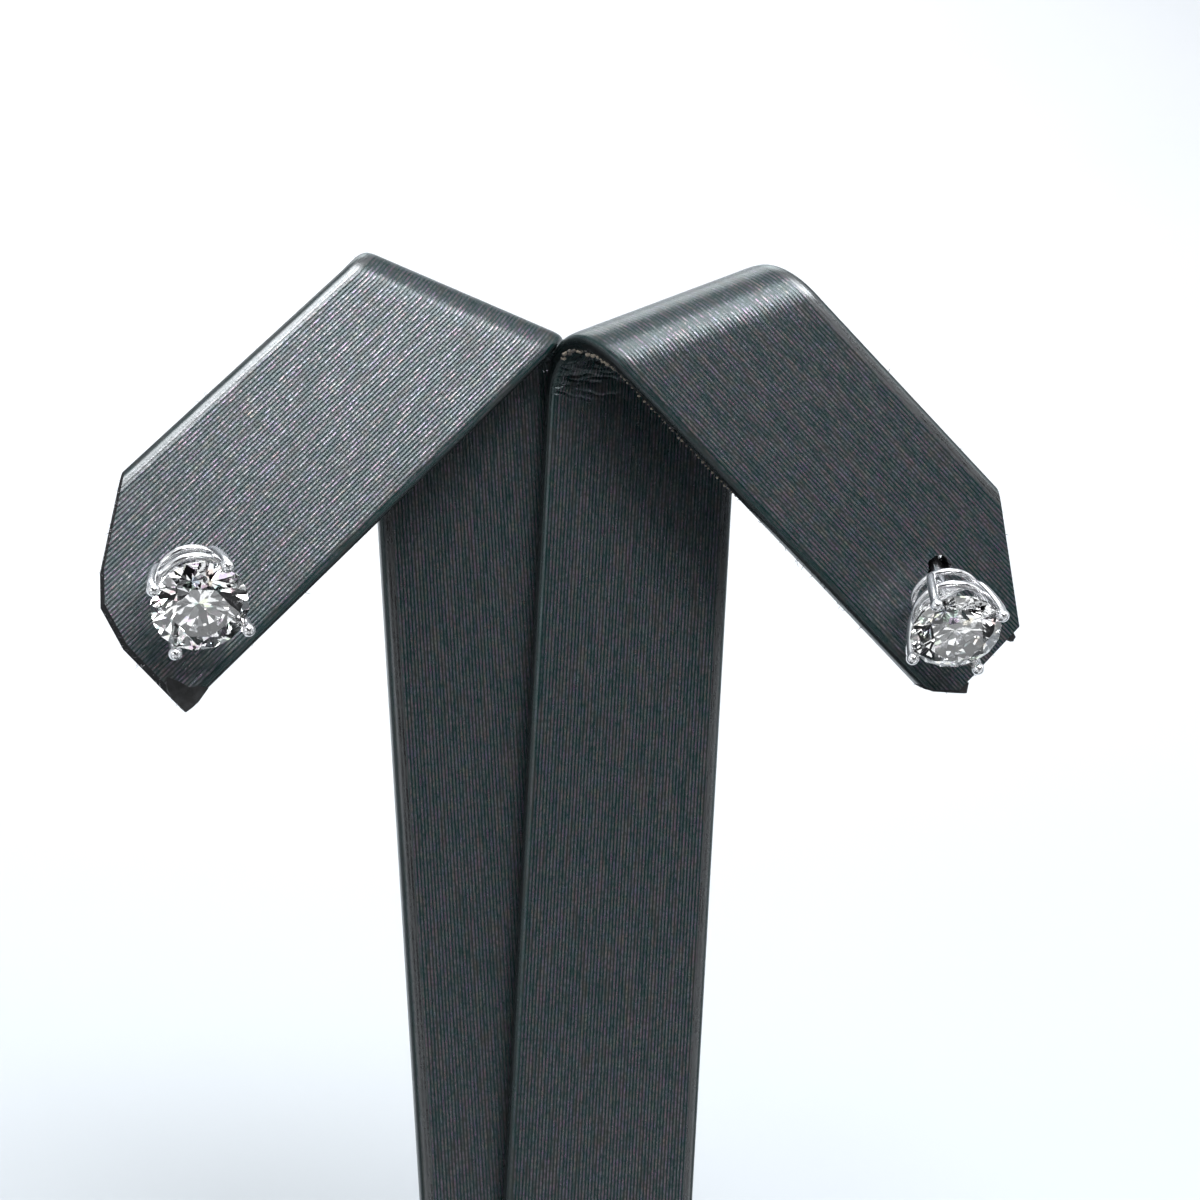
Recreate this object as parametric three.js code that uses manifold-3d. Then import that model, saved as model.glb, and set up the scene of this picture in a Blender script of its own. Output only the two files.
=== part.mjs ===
// A pair of round solitaire stud earrings pinned on a small display stand.
// The stand is two wrapped strips that rise side by side from a base, lean back and fold
// forward and outward over the top into two wings. Each stud hangs from a pin hole in a wing.
// Millimetres, +Z up. The origin is the middle of the base's underside and +Y is the back.

import * as THREE from "three";
import { ConvexGeometry } from "three/addons/geometries/ConvexGeometry.js";
import { mergeVertices } from "three/addons/utils/BufferGeometryUtils.js";
import Module from "manifold-3d";

const wasm = await Module();
wasm.setup();
const rad = THREE.MathUtils.degToRad;

// Base of the stand
const BASE_WIDTH = 44;
const BASE_DEPTH = 38;
const BASE_HEIGHT = 7;
const BASE_CORNER = 3;
const BASE_BEVEL = 0.6;

// Both strips
const STRIP_WIDTH = 13.8;
const STRIP_THICKNESS = 1.6;
const STRIP_EDGE_RADIUS = 0.65;
const STRIP_GAP = 0.3;
const LEAN_BACK = rad(10.5);
const FOOT_SETBACK = -7.3;
const SOCKET_DEPTH = 4;
const SOCKET_CLEARANCE = 0.25;

// Each strip is a flat sheet, folded about a slanted line. Along the sheet, lengths start at
// the fold line's middle. The fold is at foldX and foldHeight in the leaning plane, and turn
// is how far the post leans to +X in it. layer counts strips from the front. outer is the
// side that the wing's outer edge is on.
const STRIPS = {
  left: {
    layer: 1,
    foldX: -2.85,
    foldHeight: 76.8,
    turn: rad(-0.5),
    foldSlant: rad(-25.5),
    bendRadius: 1.8,
    bendAngle: rad(165),
    wingEnd: 37.85,
    endOutline: [
      { across: -1, short: 0.58 },
      { across: -0.46, short: 0.175 },
      { across: -0.22, short: 0.06 },
      { across: 0.2, short: 0 },
      { across: 0.94, short: 0 },
      { across: 1, short: 0.03 },
    ],
  },
  right: {
    layer: 0,
    foldX: 9.5,
    foldHeight: 74.4,
    turn: rad(6),
    foldSlant: rad(23.5),
    bendRadius: 3.1,
    bendAngle: rad(175),
    wingEnd: 39.35,
    endOutline: [
      { across: -1, short: 0.17 },
      { across: -0.94, short: 0.1 },
      { across: -0.75, short: 0 },
      { across: 0.16, short: 0 },
      { across: 1, short: 0.575 },
    ],
  },
};

// Round brilliant stones
const STONE_DIAMETER = 6.2;
const GIRDLE_THICKNESS = 0.18;
const CROWN_HEIGHT = 0.93;
const PAVILION_DEPTH = 2.67;
const TABLE_SHARE = 0.57;
const STAR_SHARE = 0.52;
const LOWER_HALF_SHARE = 0.22;
const STONE_CLEARANCE = 0.05;

// Four-prong basket settings with two rails, and the post soldered behind
const BASKET_DEPTH = 3.75;
const MIDDLE_RAIL_DEPTH = 2.15;
const MIDDLE_RAIL_RADIUS = 2.42;
const REAR_RAIL_RADIUS = 2.2;
const RAIL_WIRE = 0.5;
const PRONG_COUNT = 4;
const PRONG_WIRE = 0.72;
const PRONG_BITE = 0.1;
const TIP_BALL = 0.9;
const TIP_HEIGHT = 0.55;
const POST_DIAMETER = 0.9;
const POST_LENGTH = 10;

// Friction backs behind the wings
const BACK_DIAMETER = 5;
const BACK_PLATE = 0.4;
const HUB_DIAMETER = 2;
const HUB_LENGTH = 2.2;
const BORE_CLEARANCE = 0.1;
const SCROLL_DIAMETER = 1.7;
const SCROLL_THICKNESS = 0.32;
const SCROLL_WIDTH = 2.2;

// How each stud hangs: its hole's place on the sheet, and where the stone looks
const HOLE_CLEARANCE = 0.2;
const HANGING_GAP = 0.1;
const STUDS = {
  left: { across: -0.43, along: 30.75, azimuth: rad(1), drop: rad(13), spin: rad(61) },
  right: { across: 0.15, along: 31.8, azimuth: rad(-9), drop: rad(25), spin: rad(32) },
};

// Steps around curves
const BEND_STEPS = 14;
const EDGE_STEPS = 3;
const RAIL_SIDES = 6;
const RAIL_STEPS = 24;
const PRONG_SIDES = 8;
const PRONG_STEPS = 9;
const ROUND_STEPS = 24;
const POST_SIDES = 12;

const leatherette = { color: 0x3c3d45, roughness: 0.42, metalness: 0.15 };
const metal = { color: 0xe4e5e8, roughness: 0.12, metalness: 1 };
const gem = { color: 0xf4f8fb, roughness: 0.02, metalness: 0 };

const material = (look) => new THREE.MeshStandardMaterial(look);

function solidOf(geometry) {
  const bare = geometry.clone();
  bare.deleteAttribute("normal");
  bare.deleteAttribute("uv");
  const welded = mergeVertices(bare, 1e-4);
  const mesh = new wasm.Mesh({
    numProp: 3,
    vertProperties: new Float32Array(welded.attributes.position.array),
    triVerts: new Uint32Array(welded.index.array),
  });
  return new wasm.Manifold(mesh);
}

function geometryOf(solid) {
  const mesh = solid.getMesh();
  const geometry = new THREE.BufferGeometry();
  geometry.setAttribute("position", new THREE.BufferAttribute(new Float32Array(mesh.vertProperties), 3));
  geometry.setIndex(new THREE.BufferAttribute(new Uint32Array(mesh.triVerts), 1));
  geometry.computeVertexNormals();
  return geometry;
}

const joined = (geometries) => geometries.map(solidOf).reduce((sum, next) => sum.add(next));

const cut = (geometry, cutters) =>
  cutters.reduce((solid, cutter) => solid.subtract(solidOf(cutter)), solidOf(geometry));

// A point of the folded sheet: across, along, and depth toward the inside of the fold.
// Local axes: +X across the post, +Z up it, -Y forward.
function sheetPoint(strip, across, along, depth = 0) {
  const c = Math.cos(strip.foldSlant);
  const s = Math.sin(strip.foldSlant);
  const alongFold = across * c + along * s;
  const pastFold = along * c - across * s;
  const bendLength = strip.bendRadius * strip.bendAngle;
  const turned = THREE.MathUtils.clamp(pastFold / strip.bendRadius, 0, strip.bendAngle);
  const before = Math.min(pastFold, 0);
  const after = Math.max(pastFold - bendLength, 0);
  const reach = strip.bendRadius - depth;
  const rise = before + reach * Math.sin(turned) + after * Math.cos(turned);
  const forward = strip.bendRadius - reach * Math.cos(turned) + after * Math.sin(turned);
  return new THREE.Vector3(alongFold * c - rise * s, -forward, alongFold * s + rise * c);
}

// The section across a strip, a rounded rectangle of (across, depth) pairs.
function stripSection() {
  const r = Math.min(STRIP_EDGE_RADIUS, STRIP_THICKNESS / 2);
  const points = [];
  for (let corner = 0; corner < 4; corner += 1) {
    const middle = rad(45 + 90 * corner);
    const cx = Math.sign(Math.cos(middle)) * (STRIP_WIDTH / 2 - r);
    const cy = Math.sign(Math.sin(middle)) * (STRIP_THICKNESS / 2 - r);
    for (let i = 0; i <= EDGE_STEPS; i += 1) {
      const angle = rad(90 * corner + (90 * i) / EDGE_STEPS);
      points.push([cx + r * Math.cos(angle), cy + r * Math.sin(angle)]);
    }
  }
  return points;
}

const footAlong = (strip) => -(strip.foldHeight + SOCKET_DEPTH) / Math.cos(strip.turn);

// Where on the sheet each section lies: a row for the foot, the bend's steps and the end.
function stripStations(strip) {
  const c = Math.cos(strip.foldSlant);
  const s = Math.sin(strip.foldSlant);
  const rows = [() => footAlong(strip)];
  for (let i = 0; i <= BEND_STEPS; i += 1) {
    const pastFold = (strip.bendRadius * strip.bendAngle * i) / BEND_STEPS;
    rows.push((across) => (pastFold + across * s) / c);
  }
  rows.push(() => strip.wingEnd + STRIP_THICKNESS);
  return rows;
}

function loftedStrip(strip) {
  const section = stripSection();
  const count = section.length;
  const rows = stripStations(strip);
  const positions = [];
  for (const along of rows) {
    for (const [across, depth] of section) {
      positions.push(...sheetPoint(strip, across, along(across), depth).toArray());
    }
  }
  const index = [];
  for (let row = 0; row + 1 < rows.length; row += 1) {
    for (let i = 0; i < count; i += 1) {
      const a = row * count + i;
      const b = row * count + ((i + 1) % count);
      index.push(a, b + count, b, a, a + count, b + count);
    }
  }
  const last = (rows.length - 1) * count;
  for (let i = 1; i + 1 < count; i += 1) {
    index.push(0, i, i + 1);
    index.push(last, last + i + 1, last + i);
  }
  const geometry = new THREE.BufferGeometry();
  geometry.setAttribute("position", new THREE.BufferAttribute(new Float32Array(positions), 3));
  geometry.setIndex(index);
  return geometry;
}

// The flat wing's own frame: X across, Y along, Z square to it, from a point of the sheet.
function wingFrame(strip, across, along) {
  const origin = sheetPoint(strip, across, along);
  const x = sheetPoint(strip, across + 1, along).sub(origin).normalize();
  const y = sheetPoint(strip, across, along + 1).sub(origin).normalize();
  const z = new THREE.Vector3().crossVectors(x, y).normalize();
  return new THREE.Matrix4().makeBasis(x, y, z).setPosition(origin);
}

function prism(outline, height) {
  const shape = new THREE.Shape(outline.map(([x, y]) => new THREE.Vector2(x, y)));
  const geometry = new THREE.ExtrudeGeometry(shape, { depth: height, bevelEnabled: false, curveSegments: 4 });
  return geometry.translate(0, 0, -height / 2);
}

// Everything past the wing's end outline, which is trimmed off the sheet.
function endCutter(strip) {
  const half = STRIP_WIDTH / 2;
  const outline = strip.endOutline.map((row) => [row.across * half, -row.short * STRIP_WIDTH]);
  const first = outline[0];
  const last = outline[outline.length - 1];
  outline.unshift([first[0] - half, first[1]]);
  outline.push([last[0] + half, last[1]], [last[0] + half, half], [first[0] - half, half]);
  const cutter = prism(outline, 3 * STRIP_THICKNESS);
  return cutter.applyMatrix4(wingFrame(strip, 0, strip.wingEnd));
}

// How a stud stands on its wing: its axis in the part's frame, the same axis in the strip's
// own axes, and the tilt between that and the wing's square.
function hanging(strip, stud, stripMatrix) {
  const reach = Math.cos(stud.drop);
  const axis = new THREE.Vector3(
    Math.sin(stud.azimuth) * reach,
    -Math.cos(stud.azimuth) * reach,
    -Math.sin(stud.drop),
  );
  const unturned = new THREE.Matrix4().extractRotation(stripMatrix).transpose();
  const local = axis.clone().applyMatrix4(unturned);
  const square = new THREE.Vector3().setFromMatrixColumn(wingFrame(strip, stud.across, stud.along), 2);
  return { axis, local, tilt: Math.acos(Math.abs(local.dot(square))) };
}

// The pin's hole runs through the wing along the stud's own slanting axis.
function holeCutter(strip, stud, place) {
  const radius = POST_DIAMETER / 2 + HOLE_CLEARANCE;
  const hole = new THREE.CylinderGeometry(radius, radius, 4 * STRIP_THICKNESS, POST_SIDES);
  const turn = new THREE.Quaternion().setFromUnitVectors(new THREE.Vector3(0, 1, 0), place.local);
  const centre = sheetPoint(strip, stud.across, stud.along);
  return hole.applyQuaternion(turn).translate(centre.x, centre.y, centre.z);
}

function stripGeometry(strip, stud, place) {
  return geometryOf(cut(loftedStrip(strip), [endCutter(strip), holeCutter(strip, stud, place)]));
}

// The space that a strip's foot takes in the base, in the strip's own axes.
function socketCutter(strip) {
  const width = STRIP_WIDTH + 2 * SOCKET_CLEARANCE;
  const thick = STRIP_THICKNESS + 2 * SOCKET_CLEARANCE;
  const low = footAlong(strip) - SOCKET_CLEARANCE;
  const tall = 3 * SOCKET_DEPTH;
  return new THREE.BoxGeometry(width, thick, tall).translate(0, 0, low + tall / 2);
}

function baseGeometry(cutters) {
  const [w, d, r] = [BASE_WIDTH / 2, BASE_DEPTH / 2, BASE_CORNER];
  const shape = new THREE.Shape();
  shape.absarc(w - r, d - r, r, 0, Math.PI / 2, false);
  shape.absarc(r - w, d - r, r, Math.PI / 2, Math.PI, false);
  shape.absarc(r - w, r - d, r, Math.PI, 1.5 * Math.PI, false);
  shape.absarc(w - r, r - d, r, 1.5 * Math.PI, 2 * Math.PI, false);
  const block = new THREE.ExtrudeGeometry(shape, {
    depth: BASE_HEIGHT - 2 * BASE_BEVEL,
    bevelThickness: BASE_BEVEL,
    bevelSize: BASE_BEVEL,
    bevelOffset: -BASE_BEVEL,
    bevelSegments: 2,
    curveSegments: 5,
  });
  block.translate(0, 0, BASE_BEVEL);
  return geometryOf(cut(block, cutters));
}

// Places of the stone's levels on its axis: the girdle's middle is at zero.
const girdleTop = GIRDLE_THICKNESS / 2;
const tableHeight = girdleTop + CROWN_HEIGHT;
const culetDepth = -girdleTop - PAVILION_DEPTH;

const ring = (count, radius, height, start = 0) =>
  Array.from({ length: count }, (_, i) => {
    const angle = start + (2 * Math.PI * i) / count;
    return new THREE.Vector3(radius * Math.cos(angle), radius * Math.sin(angle), height);
  });

// Eight mains and eight kites, with stars, upper halves and lower halves between them.
function stoneGeometry() {
  const radius = STONE_DIAMETER / 2;
  const table = radius * TABLE_SHARE;
  const halfStep = Math.PI / 8;
  const flat = Math.cos(halfStep);
  const star = table * flat + STAR_SHARE * (radius - table * flat);
  const starHeight = tableHeight - ((star * flat - table) * CROWN_HEIGHT) / (radius - table);
  const lower = radius * LOWER_HALF_SHARE;
  const lowerHeight = culetDepth + (lower * flat * PAVILION_DEPTH) / radius;
  return new ConvexGeometry([
    ...ring(8, table, tableHeight),
    ...ring(8, star, starHeight, halfStep),
    ...ring(16, radius, girdleTop),
    ...ring(16, radius, -girdleTop),
    ...ring(8, lower, lowerHeight, halfStep),
    new THREE.Vector3(0, 0, culetDepth),
  ]);
}

// The stone's outline grown by the clearance, which cuts its seat in the prongs.
function seatCutter() {
  const grow = STONE_CLEARANCE;
  const radius = (STONE_DIAMETER / 2 + grow) / Math.cos(Math.PI / ROUND_STEPS);
  const profile = [
    [0, culetDepth - 2 * grow],
    [radius, -girdleTop - grow],
    [radius, girdleTop + grow],
    [(STONE_DIAMETER / 2) * TABLE_SHARE + grow, tableHeight + grow],
    [0, tableHeight + grow],
  ];
  return lathe(profile, ROUND_STEPS);
}

// A profile of (radius, height) pairs turned about Z.
function lathe(profile, steps) {
  const points = profile.map(([r, z]) => new THREE.Vector2(r, z));
  return new THREE.LatheGeometry(points, steps).rotateX(Math.PI / 2);
}

const rail = (radius, depth) =>
  new THREE.TorusGeometry(radius, RAIL_WIRE / 2, RAIL_SIDES, RAIL_STEPS).translate(0, 0, -depth);

const prongRadius = STONE_DIAMETER / 2 + PRONG_WIRE / 2 - PRONG_BITE;
const basketRear = BASKET_DEPTH + RAIL_WIRE / 2;

// One prong wire, from the post out under the rails and up past the girdle.
function prongGeometry() {
  const out = REAR_RAIL_RADIUS + RAIL_WIRE / 2;
  const path = new THREE.CatmullRomCurve3([
    new THREE.Vector3(0, 0, -basketRear),
    new THREE.Vector3(out * 0.6, 0, -basketRear + 0.1 * RAIL_WIRE),
    new THREE.Vector3(out, 0, -BASKET_DEPTH + RAIL_WIRE),
    new THREE.Vector3((out + prongRadius) / 2 + 0.1 * PRONG_WIRE, 0, -BASKET_DEPTH / 2),
    new THREE.Vector3(prongRadius, 0, -GIRDLE_THICKNESS),
    new THREE.Vector3(prongRadius, 0, TIP_HEIGHT),
  ]);
  const section = new THREE.Shape().absarc(0, 0, PRONG_WIRE / 2, 0, 2 * Math.PI, false);
  const sides = { curveSegments: PRONG_SIDES / 2, steps: PRONG_STEPS, bevelEnabled: false };
  return new THREE.ExtrudeGeometry(section, { ...sides, extrudePath: path });
}

function settingGeometry() {
  const pieces = [rail(REAR_RAIL_RADIUS, BASKET_DEPTH), rail(MIDDLE_RAIL_RADIUS, MIDDLE_RAIL_DEPTH)];
  for (let i = 0; i < PRONG_COUNT; i += 1) {
    const angle = (2 * Math.PI * i) / PRONG_COUNT;
    const ball = new THREE.SphereGeometry(TIP_BALL / 2, 10, 7);
    pieces.push(prongGeometry().rotateZ(angle));
    pieces.push(ball.translate(prongRadius, 0, TIP_HEIGHT).rotateZ(angle));
  }
  const post = new THREE.CylinderGeometry(POST_DIAMETER / 2, POST_DIAMETER / 2, POST_LENGTH, POST_SIDES);
  pieces.push(post.rotateX(Math.PI / 2).translate(0, 0, -basketRear - POST_LENGTH / 2));
  return geometryOf(joined(pieces).subtract(solidOf(seatCutter())));
}

// A curled ear of the friction back, a band bent round a circle beside the hub.
function scrollGeometry(side) {
  const outer = SCROLL_DIAMETER / 2;
  const inner = outer - SCROLL_THICKNESS;
  const [from, to] = [rad(-120), rad(190)];
  const shape = new THREE.Shape();
  shape.absarc(0, 0, outer, from, to, false);
  shape.absarc(0, 0, inner, to, from, true);
  const extrusion = { depth: SCROLL_WIDTH, bevelEnabled: false, curveSegments: 12 };
  const band = new THREE.ExtrudeGeometry(shape, extrusion);
  band.translate(0, 0, -SCROLL_WIDTH / 2).rotateX(Math.PI / 2);
  if (side < 0) band.rotateZ(Math.PI);
  const beside = HUB_DIAMETER / 2 + outer - SCROLL_THICKNESS / 2;
  return band.translate(side * beside, 0, -BACK_PLATE - outer + SCROLL_THICKNESS / 2);
}

// The friction back, with its flat pad's front at zero and its hub going back along -Z.
function backGeometry() {
  const plate = BACK_DIAMETER / 2;
  const hub = HUB_DIAMETER / 2;
  const disc = lathe([[0, -BACK_PLATE], [plate, -BACK_PLATE], [plate, 0], [0, 0]], ROUND_STEPS);
  const barrel = new THREE.CylinderGeometry(hub, hub, HUB_LENGTH, POST_SIDES).rotateX(Math.PI / 2);
  barrel.translate(0, 0, -BACK_PLATE - HUB_LENGTH / 2 + BACK_PLATE / 2);
  const bore = POST_DIAMETER / 2 + BORE_CLEARANCE;
  const drill = new THREE.CylinderGeometry(bore, bore, 4 * HUB_LENGTH, POST_SIDES).rotateX(Math.PI / 2);
  const body = joined([disc, barrel, scrollGeometry(1), scrollGeometry(-1)]);
  return geometryOf(body.subtract(solidOf(drill)));
}

// A stud's group has +Z along its axis, out from the wing, with zero in the hole.
function studGroup(side, place, holePoint, spin) {
  const rise = 1 / Math.cos(place.tilt);
  const slope = Math.tan(place.tilt);
  const skin = (STRIP_THICKNESS / 2) * rise + HANGING_GAP * rise;
  const basketRim = REAR_RAIL_RADIUS + RAIL_WIRE / 2 + PRONG_WIRE / 4;
  const girdle = skin + basketRim * slope + basketRear + PRONG_WIRE / 2;
  const padFront = -skin - (BACK_DIAMETER / 2) * slope;

  const right = new THREE.Vector3(0, 0, 1).cross(place.axis).normalize();
  const up = new THREE.Vector3().crossVectors(place.axis, right);
  const group = new THREE.Group();
  group.quaternion.setFromRotationMatrix(new THREE.Matrix4().makeBasis(right, up, place.axis));
  group.position.copy(holePoint);

  const setting = new THREE.Mesh(settingGeometry(), material(metal));
  const stone = new THREE.Mesh(stoneGeometry(), material(gem));
  const back = new THREE.Mesh(backGeometry(), material(metal));
  setting.name = `${side}_setting`;
  stone.name = `${side}_stone`;
  back.name = `${side}_friction_back`;
  setting.position.z = girdle;
  stone.position.z = girdle;
  back.position.z = padFront;
  setting.rotation.z = spin;
  stone.rotation.z = spin;
  group.add(setting, stone, back);
  return group;
}

const earringsOnStand = new THREE.Group();
const sockets = [];

// The leaning plane that both posts stand in, from the foot line on the base's top.
const leaning = new THREE.Group();
leaning.position.set(0, FOOT_SETBACK, BASE_HEIGHT);
leaning.rotation.x = -LEAN_BACK;
earringsOnStand.add(leaning);

for (const side of ["left", "right"]) {
  const strip = STRIPS[side];
  const stud = STUDS[side];
  const mesh = new THREE.Mesh(new THREE.BufferGeometry(), material(leatherette));
  mesh.name = `${side}_strip`;
  mesh.position.set(strip.foldX, strip.layer * (STRIP_THICKNESS + STRIP_GAP), strip.foldHeight);
  mesh.rotation.y = strip.turn;
  leaning.add(mesh);
  leaning.updateMatrixWorld(true);

  const place = hanging(strip, stud, mesh.matrixWorld);
  mesh.geometry = stripGeometry(strip, stud, place);
  sockets.push(socketCutter(strip).applyMatrix4(mesh.matrixWorld));
  const holePoint = sheetPoint(strip, stud.across, stud.along).applyMatrix4(mesh.matrixWorld);
  earringsOnStand.add(studGroup(side, place, holePoint, stud.spin));
}

const base = new THREE.Mesh(baseGeometry(sockets), material(leatherette));
base.name = "base";
earringsOnStand.add(base);

export default earringsOnStand;
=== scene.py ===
import math
import random

import bmesh
import bpy
from mathutils import Matrix, Vector


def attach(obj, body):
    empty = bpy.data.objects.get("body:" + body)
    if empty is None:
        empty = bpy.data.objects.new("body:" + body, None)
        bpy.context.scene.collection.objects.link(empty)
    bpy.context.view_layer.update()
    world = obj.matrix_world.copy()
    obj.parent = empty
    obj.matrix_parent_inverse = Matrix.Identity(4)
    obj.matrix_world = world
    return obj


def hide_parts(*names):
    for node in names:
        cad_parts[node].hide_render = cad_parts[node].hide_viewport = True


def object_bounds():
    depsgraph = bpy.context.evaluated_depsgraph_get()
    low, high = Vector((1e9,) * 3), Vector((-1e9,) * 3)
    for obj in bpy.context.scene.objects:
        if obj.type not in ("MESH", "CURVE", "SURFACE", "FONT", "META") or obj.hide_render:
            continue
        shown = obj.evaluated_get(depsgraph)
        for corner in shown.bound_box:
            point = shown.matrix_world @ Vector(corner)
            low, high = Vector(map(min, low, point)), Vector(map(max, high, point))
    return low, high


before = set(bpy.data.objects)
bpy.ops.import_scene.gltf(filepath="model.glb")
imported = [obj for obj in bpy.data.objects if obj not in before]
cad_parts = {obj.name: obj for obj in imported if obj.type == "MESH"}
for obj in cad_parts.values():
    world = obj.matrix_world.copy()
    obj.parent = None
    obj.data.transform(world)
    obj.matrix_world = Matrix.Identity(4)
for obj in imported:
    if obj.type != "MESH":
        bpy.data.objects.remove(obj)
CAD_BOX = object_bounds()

bl_info = {
    "name": "Stud Earrings on a Folded Stand",
    "version": (1, 0, 0),
    "blender": (4, 5, 0),
    "location": "View3D > Sidebar > Stud Earrings",
    "description": "Builds a pair of round stud earrings pinned on a small folded display stand",
    "category": "Object",
}

MM = 0.001
BODY = "root"

# Places that the stand's solids share
BASE_WIDTH, BASE_DEPTH, BASE_HEIGHT = 44 * MM, 38 * MM, 7 * MM
BASE_CORNER, BASE_BEVEL = 3 * MM, 0.6 * MM
STRIP_GAP = 0.3 * MM
LEAN_BACK = math.radians(10.5)
FOOT_SETBACK = -7.3 * MM
SOCKET_DEPTH = 4 * MM
SOCKET_CLEARANCE = 0.25 * MM

# Places on a stud's axis, in millimetres, with zero at the stone's girdle
CROWN_HEIGHT, PAVILION_DEPTH, GIRDLE = 0.93, 2.67, 0.18
STAR_SHARE, LOWER_SHARE = 0.52, 0.22
BASKET_DEPTH, MIDDLE_DEPTH = 3.75, 2.15
REAR_RADIUS, MIDDLE_RADIUS = 2.2, 2.42
PRONG_BITE, TIP_HEIGHT = 0.1, 0.55
HANGING_GAP, HOLE_PLAY, BORE_PLAY, SEAT_PLAY = 0.1, 0.2, 0.1, 0.03

# How far from a strip's long edges its ribs start, and over what width they grow to full height
RIB_MARGIN, RIB_FADE = 0.38 * MM, 0.5 * MM

# A wrapped piece's materials, by their place in its list
CORE, FELT = 1, 2

# How near a cut or a merge counts as touching, for meshes in metres and in millimetres
NEAR_METRES, NEAR_MM = 1e-8, 1e-5


# Sizes and colours that a user would change


def length(name, description, default, low=0.0):
    return bpy.props.FloatProperty(
        name=name, description=description, default=default, min=low, unit="LENGTH", precision=5
    )


def colour(name, description, default):
    return bpy.props.FloatVectorProperty(
        name=name, description=description, default=default, size=3, min=0.0, max=1.0, subtype="COLOR"
    )


class StandSettings(bpy.types.PropertyGroup):
    strip_width: length("Strip width", "Width of each folded strip", 13.8 * MM)
    strip_thickness: length("Strip thickness", "Thickness of each wrapped strip", 1.6 * MM)
    edge_radius: length("Edge radius", "Rounding of the strip's long edges", 0.42 * MM)
    shoulder: length("Shoulder", "How far the padding falls away near an edge", 0.16 * MM)
    shoulder_width: length("Shoulder width", "Width of the padded fall at each edge", 0.95 * MM)
    rib_pitch: length("Rib pitch", "Distance between two ribs of the grain", 0.24 * MM)
    rib_height: length("Rib height", "Height of a rib of the grain", 0.022 * MM)
    leather: colour("Leatherette", "Dark green-grey of the wrap", (0.0012, 0.016, 0.015))
    leather_glint: colour("Glints", "Pearly dashes along the ribs", (0.166, 0.143, 0.173))
    leather_brown: colour("Brown tone", "Warm patches in the wrap", (0.0125, 0.0142, 0.0115))
    core: colour("Core", "Board that shows where a strip is cut", (0.006, 0.006, 0.007))
    backing: colour("Backing", "Knitted backing along a turned edge", (0.36, 0.31, 0.24))
    fibre: colour("Fibres", "Torn white fibres at the clipped ends", (0.72, 0.72, 0.74))
    felt: colour("Felt", "Pad under the base", (0.03, 0.03, 0.034))


class StudSettings(bpy.types.PropertyGroup):
    stone: length("Stone diameter", "Diameter of the round stone", 6.2 * MM)
    table: bpy.props.FloatProperty(
        name="Table", description="Table's share of the diameter", default=0.57, min=0.4, max=0.7,
        subtype="FACTOR",
    )
    prong_wire: length("Prong wire", "Diameter of a prong", 0.72 * MM)
    tip_ball: length("Tip ball", "Diameter of a prong's rounded tip", 0.9 * MM)
    rail_wire: length("Rail wire", "Diameter of the basket's rails", 0.5 * MM)
    post: length("Post", "Diameter of the ear post", 0.9 * MM)
    post_length: length("Post length", "Length of the ear post behind the basket", 10 * MM)
    back: length("Friction back", "Diameter of the friction back's pad", 5 * MM)
    metal: colour("White metal", "Polished white metal", (0.86, 0.865, 0.88))
    gem: colour("Clear stone", "Colour of the clear stone", (1.0, 1.0, 1.0))


# The folded strips


class Fold:
    """A flat strip folded about a slanted line, in millimetres and degrees.

    Along it, lengths start at the fold's middle. Its end's outline has the place across, as a
    share of half the width, and how far that place falls short, as a share of the width.
    """

    def __init__(self, layer, x, height, turn, slant, radius, angle, wing_end, outline):
        look = bpy.context.scene.stand
        self.half = look.strip_width / 2
        self.deep = look.strip_thickness / 2
        self.radius, self.angle = radius * MM, math.radians(angle)
        self.c, self.s = math.cos(math.radians(slant)), math.sin(math.radians(slant))
        self.wing_end = wing_end * MM
        width = look.strip_width
        self.outline = [(a * self.half, self.wing_end - short * width) for a, short in outline]
        self.foot = -(height * MM + SOCKET_DEPTH) / math.cos(math.radians(turn))
        lift = layer * (look.strip_thickness + STRIP_GAP)
        self.place = (
            Matrix.Translation((0, FOOT_SETBACK, BASE_HEIGHT))
            @ Matrix.Rotation(-LEAN_BACK, 4, "X")
            @ Matrix.Translation((x * MM, lift, height * MM))
            @ Matrix.Rotation(math.radians(turn), 4, "Y")
        )

    def past(self, across, along):
        return along * self.c - across * self.s

    def on_bend(self, across, along):
        """How far round the bend's middle a point lies, from 0 off the bend to 1."""
        share = self.past(across, along) / (self.radius * self.angle)
        return math.sin(math.pi * min(max(share, 0.0), 1.0))

    def point(self, across, along, depth=0.0):
        """The place of a point of the flat sheet, with depth toward the inside of the fold."""
        on_fold = across * self.c + along * self.s
        past = self.past(across, along)
        turned = min(max(past / self.radius, 0.0), self.angle)
        before, after = min(past, 0.0), max(past - self.radius * self.angle, 0.0)
        reach = self.radius - depth
        rise = before + reach * math.sin(turned) + after * math.cos(turned)
        forward = self.radius - reach * math.cos(turned) + after * math.sin(turned)
        return self.place @ Vector(
            (on_fold * self.c - rise * self.s, -forward, on_fold * self.s + rise * self.c)
        )

    def square(self, across, along):
        """The unit vector out of the sheet's outer face."""
        return (self.point(across, along, -MM) - self.point(across, along)).normalized()


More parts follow.
